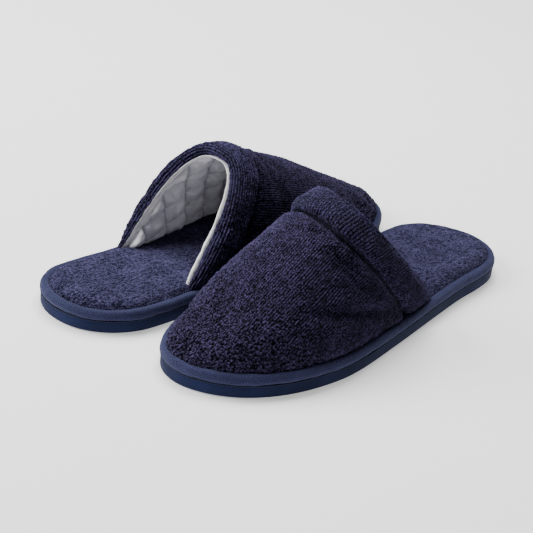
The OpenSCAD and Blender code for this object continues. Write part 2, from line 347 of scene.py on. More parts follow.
def border(rows, cols, step=1):
    """Point numbers round the edge of a grid, one in every step."""
    ids = np.arange(rows * cols).reshape(rows, cols)
    return np.concatenate([ids[0, :-1:step], ids[:-1:step, -1], ids[-1, :0:-step], ids[:0:-step, 0]])


def shell(outer, inner, step):
    """Closes two grids into one solid; the inner one has one point for every step of the outer's."""
    rows, cols = outer.shape[:2]
    rows2, cols2 = inner.shape[:2]
    n = rows * cols
    fine = border(rows, cols)
    coarse = border(rows2, cols2) + n
    rim = []
    for k in range(len(coarse)):
        run = [fine[(k * step + i) % len(fine)] for i in range(step + 1)]
        rim.append([int(v) for v in run] + [int(coarse[(k + 1) % len(coarse)]), int(coarse[k])])
    faces = [f.tolist() for f in grid_quads(rows, cols)]
    faces += [f.tolist() for f in grid_quads(rows2, cols2, n)[:, ::-1]]
    return np.concatenate([outer.reshape(-1, 3), inner.reshape(-1, 3)]), faces + rim


# ---- Cloth ----

# The simulation works on a model 20 times as large as life, for a fixed number of frames
SIM_SCALE = 20 * MM
SIM_FRAMES = 18


def resized(a, rows, cols):
    """A grid of values carried smoothly to another number of rows and columns."""
    for axis, n in ((0, rows), (1, cols)):
        size = a.shape[axis]
        t = np.linspace(0, size - 1, n)
        i = np.clip(np.floor(t).astype(int), 0, size - 2)
        f = t - i
        weights = (
            (-f + 2 * f ** 2 - f ** 3) / 2,
            (2 - 5 * f ** 2 + 3 * f ** 3) / 2,
            (f + 4 * f ** 2 - 3 * f ** 3) / 2,
            (-(f ** 2) + f ** 3) / 2,
        )
        shape = [1] * a.ndim
        shape[axis] = n
        a = sum(
            w.reshape(shape) * np.take(a, np.clip(i + k, 0, size - 1), axis=axis)
            for k, w in zip((-1, 0, 1, 2), weights)
        )
    return a


def puffed(points, held, pressure, slack, cap, close=False, inside_out=False):
    """Cloth simulation on a grid: how far each point moves, in mm, when the cloth is a little larger
    than its frame and is blown up from inside. held is 1 where it is sewn down, 0 where it is free."""
    rows, cols = points.shape[:2]
    mesh = bpy.data.meshes.new("sim")
    faces = grid_quads(rows, cols, 0, False, close)
    if inside_out:
        faces = faces[:, ::-1]
    mesh.from_pydata((points.reshape(-1, 3) * SIM_SCALE).tolist(), [], faces.tolist())
    obj = bpy.data.objects.new("sim", mesh)
    scene = bpy.context.scene
    scene.collection.objects.link(obj)
    group = obj.vertex_groups.new(name="held")
    for i, w in enumerate(np.broadcast_to(held, (rows, cols)).ravel()):
        group.add([i], float(w), "REPLACE")
    cloth = obj.modifiers.new("cloth", "CLOTH")
    cloth.point_cache.frame_start = 1
    cloth.point_cache.frame_end = SIM_FRAMES
    s = cloth.settings
    s.quality = 6
    s.mass = 0.15
    s.tension_stiffness = 15
    s.compression_stiffness = 15
    s.shear_stiffness = 8
    s.bending_stiffness = 0.6
    s.use_pressure = True
    s.uniform_pressure_force = pressure
    s.shrink_min = -slack
    s.vertex_group_mass = "held"
    s.effector_weights.gravity = 0
    for frame_number in range(1, SIM_FRAMES + 1):
        scene.frame_set(frame_number)
    result = obj.evaluated_get(bpy.context.evaluated_depsgraph_get())
    co = np.empty(rows * cols * 3, np.float32)
    result.data.vertices.foreach_get("co", co)
    by = co.reshape(points.shape) / SIM_SCALE - points
    bpy.data.objects.remove(obj)
    bpy.data.meshes.remove(mesh)
    scene.frame_set(1)
    size = np.linalg.norm(by, axis=-1, keepdims=True)
    return by * np.minimum(1, cap / np.maximum(size, 1e-6))


# ---- Materials ----


class Nodes:
    """A short way to write a material's node tree."""

    def __init__(self, name):
        self.material = bpy.data.materials.new(name)
        self.material.use_nodes = True
        self.tree = self.material.node_tree
        self.shader = self.tree.nodes["Principled BSDF"]
        self.coords = self.tree.nodes.new("ShaderNodeTexCoord").outputs["Object"]

    def link(self, a, b):
        self.tree.links.new(a, b)
        return b

    def set(self, **values):
        for key, value in values.items():
            self.shader.inputs[key.replace("_", " ")].default_value = value

    def attribute(self, name, kind="Fac"):
        node = self.tree.nodes.new("ShaderNodeAttribute")
        node.attribute_name = name
        return node.outputs[kind]

    def texture(self, kind, vector, **inputs):
        node = self.tree.nodes.new("ShaderNodeTex" + kind)
        for key, value in inputs.items():
            node.inputs[key].default_value = value
        self.link(vector or self.coords, node.inputs["Vector"])
        return node.outputs

    def noise(self, scale, detail=2.0, rough=0.5, vector=None):
        return self.texture("Noise", vector, Scale=scale, Detail=detail, Roughness=rough)["Fac"]

    def voronoi(self, scale):
        return self.texture("Voronoi", None, Scale=scale)["Distance"]

    def wave(self, scale, angle, distortion, vector):
        mapping = self.tree.nodes.new("ShaderNodeMapping")
        mapping.inputs["Rotation"].default_value = (0, 0, math.radians(angle))
        self.link(vector, mapping.inputs["Vector"])
        turned = mapping.outputs["Vector"]
        return self.texture("Wave", turned, Scale=scale, Distortion=distortion)["Fac"]

    def maths(self, kind, a, b):
        node = self.tree.nodes.new("ShaderNodeMath")
        node.operation = kind
        for value, socket in zip((a, b), node.inputs):
            if isinstance(value, (int, float)):
                socket.default_value = value
            else:
                self.link(value, socket)
        return node.outputs[0]

    def ramp(self, value, stops):
        node = self.tree.nodes.new("ShaderNodeValToRGB")
        elements = node.color_ramp.elements
        while len(elements) < len(stops):
            elements.new(0.5)
        for element, (at, colour) in zip(elements, stops):
            element.position = at
            element.color = (*colour, 1)
        self.link(value, node.inputs["Fac"])
        return node.outputs["Color"]

    def bump(self, height, depth, strength):
        node = self.tree.nodes.new("ShaderNodeBump")
        node.inputs["Distance"].default_value = depth
        node.inputs["Strength"].default_value = strength
        self.link(height, node.inputs["Height"])
        self.link(node.outputs["Normal"], self.shader.inputs["Normal"])


def terry(name, dark, light, sheen):
    """Looped pile: dark between the loops as painted shade in their hollows, lighter at their tips, with
    a soft sheen.
    """
    m = Nodes(name)
    pile = m.attribute("pile")
    loops = m.maths("SUBTRACT", 1.0, m.voronoi(950))
    patch = m.maths("ADD", m.maths("MULTIPLY", m.noise(80, 3.0), 0.25), 0.125)
    fleck = m.maths("MULTIPLY", m.noise(1500, 2.0), 0.5)
    # Colour is darkest where the pile is low and between the loops: painted shade in the pile's hollows;
    # patch and fleck are random tone
    shade = m.maths("ADD", m.maths("MULTIPLY", pile, 0.55), m.maths("MULTIPLY", loops, 0.5))
    shade = m.maths("ADD", m.maths("ADD", shade, patch), fleck)
    mid = [a + 0.24 * (b - a) for a, b in zip(dark, light)]
    stops = [(0.40, dark), (0.62, mid), (0.80, light)]
    m.link(m.ramp(m.maths("MULTIPLY", shade, 0.5), stops), m.shader.inputs["Base Color"])
    m.bump(m.maths("ADD", loops, m.maths("MULTIPLY", m.noise(2600, 3.0), 0.7)), 0.0008, 0.8)
    m.set(Roughness=0.95, Sheen_Weight=sheen, Sheen_Roughness=0.4, Sheen_Tint=(0.5, 0.5, 0.85, 1))
    m.set(Specular_IOR_Level=0.08)
    return m.material


def woven_tape(name, dark, light, pitch):
    """Herringbone twill: fine diagonal ribs that turn back at every band, pitch ribs to the mm."""
    m = Nodes(name)
    cloth = m.attribute("cloth", "Vector")
    fine = pitch * math.pi / 10
    there = m.wave(fine, 52, 1.0, cloth)
    back = m.wave(fine, -52, 1.0, cloth)
    band = m.ramp(m.wave(0.07, 90, 0.0, cloth), [(0.48, (0, 0, 0)), (0.52, (1, 1, 1))])
    other = m.maths("MULTIPLY", back, m.maths("SUBTRACT", 1.0, band))
    twill = m.maths("ADD", m.maths("MULTIPLY", there, band), other)
    fibres = m.maths("MULTIPLY", m.noise(0.9, 2.0, 0.5, cloth), 0.45)
    tone_and_shade = m.maths("ADD", m.maths("MULTIPLY", m.noise(0.07, 2.0, 0.5, cloth), 0.3), fibres)
    shade = m.maths("ADD", m.maths("MULTIPLY", twill, 0.4), tone_and_shade)
    m.link(m.ramp(shade, [(0.3, dark), (0.9, light)]), m.shader.inputs["Base Color"])
    fuzz = m.maths("MULTIPLY", m.noise(2.5, 2.0, 0.5, cloth), 0.6)
    m.bump(m.maths("ADD", twill, fuzz), 0.0003, 0.8)
    m.set(Roughness=0.85, Sheen_Weight=0.15, Sheen_Roughness=0.4, Sheen_Tint=(0.55, 0.6, 0.9, 1))
    m.set(Specular_IOR_Level=0.15)
    return m.material


def moulded_foam(name, dark, light):
    """Closed-cell foam with fine pores."""
    m = Nodes(name)
    m.link(m.ramp(m.noise(45, 4.0), [(0.3, dark), (0.7, light)]), m.shader.inputs["Base Color"])
    m.bump(m.maths("ADD", m.noise(1800, 4.0, 0.7), m.noise(300, 2.0)), 0.0002, 0.5)
    m.set(Roughness=0.65, Specular_IOR_Level=0.1)
    return m.material


def satin(name, dark, light, rough):
    """Smooth light cloth with a fine weave, greyer along its sunken stitch lines (low pile), as painted
    shade.
    """
    m = Nodes(name)
    cloth = m.attribute("cloth", "Vector")
    uneven = m.maths("MULTIPLY", m.noise(0.06, 3.0, 0.5, cloth), 0.3)
    stitch_shade_tone = m.maths("ADD", m.maths("MULTIPLY", m.attribute("pile"), 0.7), uneven)
    m.link(m.ramp(stitch_shade_tone, [(0.05, dark), (0.55, light)]), m.shader.inputs["Base Color"])
    weave = m.maths("MULTIPLY", m.wave(0.9, 45, 0.0, cloth), m.wave(0.9, -45, 0.0, cloth))
    m.bump(m.maths("ADD", weave, m.maths("MULTIPLY", m.noise(0.8, 3.0, 0.5, cloth), 1.5)), 0.0002, 0.5)
    m.set(Roughness=rough, Sheen_Weight=0.2, Specular_IOR_Level=0.35)
    return m.material


def fibrous(name, dark, light):
    """Board, foam or wadding, hidden inside the slipper."""
    m = Nodes(name)
    m.link(m.ramp(m.noise(300, 5.0, 0.7), [(0.3, dark), (0.7, light)]), m.shader.inputs["Base Color"])
    m.bump(m.noise(900, 4.0), 0.0004, 0.5)
    m.set(Roughness=0.95)
    return m.material


MATERIALS = {
    # Each terry's dark colour is painted shade deep between its loops
    "vamp_terry": terry("vamp_terry", (0.0008, 0.0008, 0.003), (0.33, 0.265, 0.66), 0.13),
    "cuff_terry": terry("cuff_terry", (0.0008, 0.0008, 0.003), (0.31, 0.265, 0.66), 0.13),
    "insole_terry": terry("insole_terry", (0.004, 0.004, 0.015), (0.32, 0.285, 0.63), 0.2),
    "binding_tape": woven_tape("binding_tape", (0.008, 0.010, 0.031), (0.046, 0.049, 0.127), 1.0),
    "outsole_foam": moulded_foam("outsole_foam", (0.0065, 0.0105, 0.038), (0.0115, 0.0175, 0.060)),
    "quilted_lining": satin("quilted_lining", (0.36, 0.36, 0.41), (0.76, 0.75, 0.80), 0.45),
    "lining_edge": satin("lining_edge", (0.86, 0.85, 0.87), (0.94, 0.93, 0.94), 0.6),
    "seam_cord": woven_tape("seam_cord", (0.007, 0.008, 0.018), (0.020, 0.022, 0.048), 0.8),
    "seam_thread": woven_tape("seam_thread", (0.003, 0.003, 0.008), (0.010, 0.010, 0.024), 1.5),
    "fibre_board": fibrous("fibre_board", (0.30, 0.29, 0.27), (0.45, 0.44, 0.42)),
    "white_foam": fibrous("white_foam", (0.75, 0.75, 0.72), (0.88, 0.88, 0.86)),
    "wadding": fibrous("wadding", (0.80, 0.80, 0.78), (0.92, 0.92, 0.90)),
}

# ---- Soles ----


def sole_solid(section, top, bottom, cols):
    """A slab over the sole's outline. section lists (inset, z) from its lower to its upper edge;
    top and bottom give the heights of the two faces from points and their distance to the edge."""
    sides_low, sides_high = halves(section[0][0]), halves(section[-1][0])
    w = np.linspace(0, 1, cols)[None, :, None]
    grids = []
    both = ((sides_low, bottom, section[0][1]), (sides_high, top, section[-1][1]))
    for (inner, outer), height, edge_z in both:
        flat = outer[1:-1, None] * (1 - w) + inner[1:-1, None] * w
        z = height(flat, edge_distance(flat, inner, outer))
        grids.append(np.concatenate([flat, z[..., None]], axis=-1))
        grids[-1][:, 0, 2] = grids[-1][:, -1, 2] = edge_z
    rows = HALF - 1
    n = rows * cols
    points = [grids[0].reshape(-1, 3), grids[1].reshape(-1, 3)]
    faces = [grid_quads(rows, cols)[:, ::-1], grid_quads(rows, cols, n)]
    low_loop = [r * cols + cols - 1 for r in range(rows)] + [None]
    low_loop += [r * cols for r in range(rows - 1, -1, -1)] + [None]
    tips = []
    count = 2 * n
    loops = []
    for k, (d, z) in enumerate(section):
        p = inset(loop, d)
        ring = np.column_stack([p, np.full(len(p), z)])
        if 0 < k < len(section) - 1:
            points.append(ring)
            loops.append(np.arange(len(p)) + count)
            count += len(p)
        else:
            base = 0 if k == 0 else n
            points.append(ring[[0, HALF]])
            ids = np.array([0 if v is None else base + v for v in [None] + low_loop[:-1]])
            ids[0], ids[HALF] = count, count + 1
            loops.append(ids)
            tips.append((count, count + 1, base))
            count += 2
    for a, b in zip(loops, loops[1:]):
        faces.append(np.stack([a, np.roll(a, -1), np.roll(b, -1), b], axis=1))
    triangles = []
    for heel, toe, base in tips:
        for j in range(cols - 1):
            first, last = base + j, base + (rows - 1) * cols + j
            triangles.append([heel, first + 1, first] if base == 0 else [heel, first, first + 1])
            triangles.append([toe, last, last + 1] if base == 0 else [toe, last + 1, last])
    return np.vstack(points), join_faces(*faces, np.array(triangles))


def edge_distance(flat, inner, outer):
    """Distance of each grid point from the outline that bounds the grid."""
    edge = np.vstack([inner, outer])[::3]
    out = np.empty(flat.shape[:2])
    for i in range(flat.shape[0]):
        out[i] = np.sqrt(((flat[i][:, None] - edge[None]) ** 2).sum(axis=-1).min(axis=1))
    return out


def edge_ring(section):
    """A closed ring of the given closed section round the sole."""
    rings = []
    for d, z in section:
        p = inset(loop, d)
        rings.append(np.column_stack([p, np.broadcast_to(z, len(p))]))
    return np.stack(rings, axis=1)


def make_outsole(side):
    """Moulded foam outsole with shallow grooves across its tread."""
    groove_w, pitch, margin, depth, wall = 2.5, 10.0, 9.0, 0.8, 0.4
    first_groove = 18.0

    def bottom(flat, edge):
        phase = (flat[..., 1] - first_groove) % pitch
        groove = np.clip(np.minimum(phase, groove_w - phase) / wall + 0.5, 0, 1)
        inside = np.clip((edge - margin) / wall, 0, 1) * (flat[..., 1] > first_groove - 1)
        return depth * groove * inside

    def top(flat, edge):
        return np.full(edge.shape, OUTSOLE_T)

    section = [(1.6, 0.0), (0.9, 0.25), (0.6, 0.9), (0.55, 2.4), (0.6, OUTSOLE_T - 0.5), (0.9, OUTSOLE_T)]
    points, faces = sole_solid(section, top, bottom, cols=60)
    make_piece(side, "outsole_detail", "outsole", "outsole_foam", points, faces)


def cloth_coords(p):
    """Where each point of a grid lies in its cloth, in mm: along the rows, across, 0."""
    along = np.concatenate([[0], np.cumsum(np.linalg.norm(np.diff(p, axis=0), axis=2).mean(axis=1))])
    across = np.concatenate([[0], np.cumsum(np.linalg.norm(np.diff(p, axis=1), axis=2).mean(axis=0))])
    a, b = np.meshgrid(along, across, indexing="ij")
    return np.stack([a, b, 0 * a], axis=-1).reshape(-1, 3)


def make_binding(side):
    """Rounded fabric tape round the edge, a little uneven where it was pulled round the curves."""
    z0, z1, w = BINDING_Z, BINDING_TOP, BINDING_W
    ctrl = [
        (1.2, z0 - 0.1), (0.2, z0 + 0.7), (-0.15, z0 + 2.2), (0.15, z1 - 1.7), (1.2, z1 - 0.4),
        (2.9, z1 + 0.1), (w - 0.1, z1 - 0.4), (w + 0.5, z1 - 1.7), (w - 0.4, z0 + 1.0), (w - 2.5, z0),
    ]
    p = edge_ring(closed_curve(ctrl, 4))
    n = normals(np.concatenate([p[-1:], p, p[:1]]), close=True)[1:-1]
    seed = 11 if side == "left" else 12
    wave = 0.28 * value_noise(p, 14.0, seed) + 0.14 * value_noise(p, 4.0, seed + 5)
    coords = cloth_coords(p)
    p = p - n * wave[..., None]
    faces = grid_quads(*p.shape[:2], close_rows=True, close_cols=True)
    make_piece(side, "binding_tape", "edge_binding", "binding_tape", p, faces, 0.7, cloth=coords)


def make_sole_seam(side):
    """Twisted cord in the line between the tape and the outsole."""
    inset_by, z, r = 0.65, (OUTSOLE_T + BINDING_Z) / 2, 0.36
    angles = np.linspace(0, 2 * math.pi, 8, endpoint=False)
    p = edge_ring([(inset_by + r * math.cos(a), z + r * math.sin(a)) for a in angles])
    p[..., 2] += 0.1 * np.sin(2.1 * np.arange(len(p))[:, None] + angles)
    faces = grid_quads(*p.shape[:2], close_rows=True, close_cols=True)
    make_piece(side, "seam_cord", "sole_seam", "seam_cord", p, faces, cloth=cloth_coords(p))


def make_insole(side):
    """Terry insole: a rounded shoulder inside the tape, a low crown, flatter under the upper."""
    seed = 21 if side == "left" else 22
    throat = min(THROAT[side][:2])
    edge_z = COVER_Z + 0.6
    shoulder_h, row_share = 3.6, 0.3

    def top(flat, edge):
        covered = np.clip((flat[..., 1] - throat - 4) / 20, 0, 1)
        shoulder = shoulder_h * (1 - covered * 0.8) * (1 - np.exp(-((edge / 3.6) ** 1.5)))
        crown = (COVER_TOP - edge_z - 2.6) * np.clip(edge / 34, 0, 1) ** 0.9
        p = np.concatenate([flat, np.zeros(flat.shape[:2] + (1,))], axis=-1)
        soft = 0.5 * value_noise(p, 38.0, seed) + 0.25 * value_noise(p, 14.0, seed + 1)
        pile = pile_at(p, p[..., 0], row_share, seed + 2)
        return edge_z + shoulder + crown + soft * np.clip(edge / 10, 0, 1) + 1.5 * pile

    def bottom(flat, edge):
        return np.full(edge.shape, COVER_Z)

    section = [(BINDING_W + 0.4, COVER_Z), (BINDING_W - 0.4, COVER_Z + 0.3), (BINDING_W - 0.4, edge_z)]
    points, faces = sole_solid(section, top, bottom, cols=130)
    p = points.copy()
    p[:, 2] = 0
    # The pile colour is darkened where it sinks beside the tape, as painted shade
    in_shade = 1 - np.clip((points[:, 2] - edge_z) / 3.4, 0.15, 1)
    pile = pile_at(p, p[..., 0], row_share, seed + 2) * (1 - 0.8 * in_shade)
    make_piece(side, "terry_insole", "insole_cover", "insole_terry", points, faces, 0.5, pile=pile)


# ---- Terry pile ----

# Distance between two loops, and between two rows of loops (mm)
LOOP_PITCH = 1.5
ROW_PITCH = 1.6


def pile_at(p, across, rows, seed):
    """Height of the terry pile from 0 to 1; rows is how strongly the loops stand in rows."""
    loops = nubs(p, LOOP_PITCH, seed)
    wander = 1.1 * value_noise(p, 6.0, seed + 9) + 0.6 * value_noise(p, 2.2, seed + 10)
    line = 0.5 + 0.5 * np.cos(2 * math.pi * across / ROW_PITCH + wander)
    broken = 0.5 + 0.5 * value_noise(p, 2.6, seed + 11)
    in_rows = line ** 0.9 * (0.45 + 0.55 * broken) * (0.65 + 0.35 * loops)
    clump = 0.85 + 0.15 * value_noise(p, 5.0, seed + 12)
    return np.clip((loops * (1 - rows) + in_rows * rows) * clump, 0, 1)


# ---- Uppers ----


class Skin:
    """A grid over the upper with its normals and, in mm, how far each point is along and across."""

    def __init__(self, side, f0, f1, rows, cols, dense=1.0, depth=0.0):
        fs = even_fs(side, f0, f1, rows, dense)
        self.fs = fs
        self.p = arches(side, fs, cols, depth)
        self.n = -normals(self.p)
        steps = np.linalg.norm(np.diff(self.p, axis=0), axis=2).mean(axis=1)
        self.along = np.concatenate([[0], np.cumsum(steps)])[:, None]
        steps = np.linalg.norm(np.diff(self.p, axis=1), axis=2)
        width = np.concatenate([np.zeros((rows, 1)), np.cumsum(steps, axis=1)], axis=1)
        self.height = np.minimum(width, width[:, -1:] - width)
        self.across = width - width[:, -1:] / 2

    def moved(self, by):
        return self.p + self.n * by[..., None]


def fold(g, ends, width, depth):
    """A soft crease between two points given as (along, across): a valley with a lip on each side."""
    a, b = (np.array(e, float) for e in ends)
    q = np.stack([g.along + 0 * g.across, g.across], axis=-1) - a
    t = np.clip((q @ (b - a)) / ((b - a) @ (b - a)), 0, 1)
    d = np.linalg.norm(q - t[..., None] * (b - a), axis=-1) / width
    fade = np.sin(math.pi * np.clip(t, 0.02, 0.98)) ** 0.7
    return depth * fade * (0.55 * np.exp(-(((d - 1.6) / 0.9) ** 2)) - np.exp(-(d ** 2)))


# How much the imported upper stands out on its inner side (mm)
BULGE = {"left": 3.6, "right": 0.0}
# The deepest that the terry may dip below its CAD surface before it would meet the lining (mm)
MOST_DENT = 3.0
# The upper is simulated from a slightly smaller shape, and swells back to its size
VAMP_START = 1.3
# Width of the strip along the seams where the upper narrows (mm)
SEAM_REACH = 14.0
# Pressure, extra cloth and the most that a point may move (mm) in the simulation of each padded part
VAMP_SIM = (1.8, 0.01, 3.0)
LINING_SIM = (9.0, 0.08, 3.5)
CUFF_SIM = (2.5, 0.02, 2.0)
# Soft creases: two ends as (distance from the cuff, distance from the middle line), width, depth
FOLDS = {
    "left": [
        (((66, -34), (5, -86)), 4.6, 2.0), (((30, -28), (4, -40)), 5.0, 0.7),
        (((10, 40), (60, 62)), 6.0, 1.2),
    ],
    "right": [(((12, -50), (60, -44)), 5.0, 1.0), (((20, 40), (90, 48)), 6.0, 1.3)],
}


def away_from_seams(g, reach):
    """0 on the seams round the upper, rising to 1 at reach mm from them."""
    return np.clip(np.minimum(g.height, g.along) / reach, 0, 1) ** 0.5


def vamp_swell(side, span, rows, cols, dense):
    """How the pressed-in upper swells between its seams, for a grid of rows by cols points."""
    c = Skin(side, *span, rows // 4 + 1, cols // 5 + 1, dense)
    held = np.zeros(c.p.shape[:2])
    held[0] = held[:, 0] = held[:, -1] = 1
    held[-2:] = 1
    start = c.moved(-VAMP_START * away_from_seams(c, SEAM_REACH))
    return resized(puffed(start, held, *VAMP_SIM, inside_out=True), rows, cols)


def vamp_shape(side, g, seed):
    """How far the terry stands off its CAD surface: tucked in at the cuff, a rolled hem on the tape,
    gathers above it, soft creases and a bulge."""
    seam = -3.0 * np.exp(-((g.along / 4.2) ** 2)) + 0.8 * np.exp(-(((g.along - 11) / 6) ** 2))
    hem = 0.3 * np.exp(-((g.height / 1.6) ** 2)) + 0.7 * np.exp(-(((g.height - 5) / 4) ** 2))
    soft = 0.7 * value_noise(g.p, 42.0, seed) + 0.4 * value_noise(g.p, 17.0, seed + 1)
    gathers = 0.5 * value_noise(g.p * np.array([1, 1, 0.3]), 11.0, seed + 2) * np.exp(-g.height / 14)
    fade = np.clip(np.minimum(g.height / 6, g.along / 6), 0, 1)
    creases = sum(fold(g, *f) for f in FOLDS[side])
    full = BULGE[side] * np.exp(-(((g.across - 30) / 30) ** 2) - (((g.along - 15) / 70) ** 2))
    full = full * (0.35 + 0.65 * np.clip(g.along / 8, 0, 1))
    return seam + hem + (soft + gathers) * fade + creases + full


def make_vamp(side):
    """Padded terry upper with its pile, and the padding under it."""
    seed = 31 if side == "left" else 32
    rows, cols, dense = 241, 341, 0.55
    # The inside of the terry and the padding take one point in four each way
    step = 4
    span = (THROAT[side][3] + 0.2) / BASE_RUN, 0.9985
    g = Skin(side, *span, rows, cols, dense)
    blown = vamp_swell(side, span, rows, cols, dense)
    shape = vamp_shape(side, g, seed) - VAMP_START * away_from_seams(g, SEAM_REACH)
    shape = shape + np.clip(-MOST_DENT - shape - (blown * g.n).sum(axis=-1), 0, None)
    # The loops stand in rows near the cuff and freely at the toe
    in_rows = np.clip(1.3 - g.along / 100, 0.15, 0.92) * np.ones_like(g.across)
    pile = pile_at(g.p, g.across, in_rows, seed + 3)
    outer = g.moved(shape + 2.0 * (pile - 0.5)) + blown
    # The hem is pulled down onto the tape
    outer[..., 2] -= 1.5 * np.exp(-g.height / 2.5)
    middle = (g.moved(shape) + blown)[::step, ::step]
    n = g.n[::step, ::step]
    inner = middle - n * (TERRY_T - 0.1)
    inner[..., 2] = np.maximum(inner[..., 2], UPPER_Z)
    points, faces = shell(outer, inner, step)
    # The pile colour is darker towards the toe, and darkened in the groove beside the cuff as painted
    # shade
    tone_and_shade = 0.28 * np.clip((g.along - 45) / 60, 0, 1) + 0.7 * np.exp(-((g.along / 2.6) ** 2))
    pile = np.concatenate([(pile * (1 - tone_and_shade)).ravel(), np.zeros(inner.shape[0] * inner.shape[1])])
    make_piece(side, "terry_vamp", "vamp_outer", "vamp_terry", points, faces, 0.6, pile=pile)
    below = arches(side, g.fs[::step], cols // step + 1, LINING_D - 0.4)
    make_wadding(side, (middle - n * (TERRY_T + 0.2))[1:-4, 2:-2], below[1:-4, 2:-2])


def make_wadding(side, outer, inner):
    """The padding between the terry and the lining."""
    outer = outer.copy()
    outer[..., 2] = np.maximum(outer[..., 2], UPPER_Z + 0.3)
    points, faces = shell(outer, inner, 1)
    make_piece(side, "padding", "vamp_wadding", "wadding", points, faces, 0.5)


# Distance between the lining's stitch lines (mm)
QUILT = 17.0


def lining_swell(side, span, rows, cols, depth):
    """How the lining swells between its stitch lines, for a grid of rows by cols points."""
    c = Skin(side, *span, rows // 2 + 1, cols // 2 + 1, 1.0, depth)
    stitched = np.exp(-((quilt_distance(c) / 1.3) ** 2))
    stitched[0] = stitched[-2:] = stitched[:, 0] = stitched[:, -1] = 1
    held = np.where(stitched > 0.5, 1.0, 0.0)
    return resized(puffed(c.p, held, *LINING_SIM), rows, cols)


def make_lining(side):
    """Quilted satin: diamonds that puff between their stitch lines, gathered at the rim."""
    seed = 41 if side == "left" else 42
    rows, cols, step = 189, 169, 4
    depth = LINING_D + LINING_T - 0.4
    span = 1.6 / BASE_RUN, 0.985
    g = Skin(side, *span, rows, cols, 1.0, depth)
    blown = lining_swell(side, span, rows, cols, depth)
    far = quilt_distance(g)
    line = np.exp(-((far / 1.1) ** 2))
    puff = 1 - np.exp(-far / 2.6)
    if not blown.any():
        blown = -g.n * (2.0 * puff)[..., None]
    crease = 0.5 * value_noise(g.p, 4.0, seed) * np.exp(-far / 3) + 0.35 * value_noise(g.p, 9.0, seed + 1)
    around = np.stack([g.across / 6.5, g.along / 26 + 0 * g.across, 0 * g.across], axis=-1)
    crease = crease + 2.2 * value_noise(around, 1.0, seed + 2) * np.exp(-g.along / 16)
    edge = np.clip(g.height / 4, 0, 1)
    face = g.moved(-(2.4 * puff + crease) * edge + 0.8 * line) + blown * edge[..., None]
    back = arches(side, g.fs[::step], cols // step + 1, LINING_D)
    points, faces = shell(face, back, step)
    faces = [f[::-1] for f in faces]
    # Greyer colour along the stitch lines: painted shade in their sunken hollows
    stitch_shade_tone = np.concatenate([(1 - line).ravel(), np.ones(back.shape[0] * back.shape[1])])
    coords = np.stack([g.along + 0 * g.across, g.across, 0 * g.across], axis=-1)
    coords = np.concatenate([coords.reshape(-1, 3), coords[::step, ::step].reshape(-1, 3)])
    make_piece(
        side, "quilted_lining", "vamp_lining", "quilted_lining", points, faces, 0.4, pile=stitch_shade_tone,
        cloth=coords,
    )


def quilt_distance(g):
    """Distance in mm from the nearest stitch line of the diamonds."""
    lines = []
    for slope in (1, -1):
        t = (g.across + slope * g.along) / math.sqrt(2) / QUILT
        lines.append(np.abs(t - np.round(t)) * QUILT)
    return np.minimum(*lines)


def swept(side, section, n):
    """Carries a closed section of (distance from the rim, depth) round the opening, n times."""
    g = np.array([q[0] for q in section])
    d = np.array([q[1] for q in section])
    fs = np.linspace(min(g.min(), -4) - 1, max(g.max(), 10) + 1, 40) / BASE_RUN
    p = arches(side, fs, n)
    nrm = -normals(p)
    out = np.empty((n, len(section), 3))
    for k in range(3):
        for j in range(n):
            on = np.interp(g / BASE_RUN, fs, p[:, j, k])
            out[j, :, k] = on - d * np.interp(g / BASE_RUN, fs, nrm[:, j, k])
    return out


def capped_faces(n, m):
    """Faces of n sections of m points each, closed at both ends."""
    first = np.array([range(m)])
    last = first[:, ::-1] + (n - 1) * m
    return join_faces(grid_quads(n, m, close_cols=True)[:, ::-1], first, last)


def pressed(side, p, section, arc):
    """Thins a swept band towards its two ends, where it is sewn down between sole and tape."""
    depth, share, reach = 1.2, 0.5, 7.0
    flat = swept(side, [(g, depth) for g, _ in section], len(p))
    near = np.minimum(arc, arc[-1] - arc).reshape(-1, 1, 1)
    inside = np.clip(section[:, 1] - depth, 0, None)[None, :, None] > 0
    return p + share * np.exp(-near / reach) * inside * (flat - p)


# Where round the rim the cuff is fullest (0 outer base, 1 inner base), how far, and by how much (mm)
CUFF_FULL = {"left": (0.67, 0.17, 4.0), "right": (0.76, 0.14, 1.8)}


def cuff_section(w, m):
    """The cuff's section as m points of (distance from the rim, depth), for a cuff w mm wide."""
    inner = LINING_D - 0.4
    ctrl = [
        (w - 0.3, 2.6), (w - 1.5, 0.9), (w - 4.3, -1.3), (w * 0.72, -CUFF_PUFF * 1.1),
        (w * 0.5, -CUFF_PUFF), (w * 0.25, -CUFF_PUFF * 0.8), (0.8, -1.1), (-2.0, 0.9), (-2.8, 2.8),
        (-2.1, inner - 0.9), (-0.3, inner), (4.0, inner), (w * 0.5, inner - 0.2), (w - 3.0, 4.0),
    ]
    section = closed_curve(ctrl, 12)
    return resample(np.vstack([section, section[:1]]), m + 1)[:-1]


def cuff_swell(side, section, n):
    """How the filler swells the cuff, which is sewn down along its inner edge and at its ends."""
    section = section[::4]
    c = swept(side, section, n // 4 + 1)
    sewn = (section[:, 1] > 2.2) & (section[:, 0] > -1)
    held = np.where(sewn, 1.0, 0.0) * np.ones((len(c), 1))
    held[:2] = held[-2:] = 1
    return puffed(c, held, *CUFF_SIM, close=True, inside_out=True)


def cuff_pile(side, p, section, arc, seed):
    """Ribbed pile: ribs that run across the front cuff's outside, and round the rim elsewhere."""
    g, d = section.T[:, None]
    outside = np.clip((1.8 - d) / 2, 0, 1) * np.clip((g - 3) / 5, 0, 1)
    ribs_across = pile_at(p, arc * np.ones_like(d) * 0.85, 0.97 * outside, seed)
    if side == "right":
        outside = outside * 0.15
    round_band = running(section)[None, :] * np.ones_like(arc) * 0.8
    ribs_along = pile_at(p, round_band, 0.9 * (1 - outside), seed + 2)
    return ribs_across * outside + ribs_along * (1 - outside)


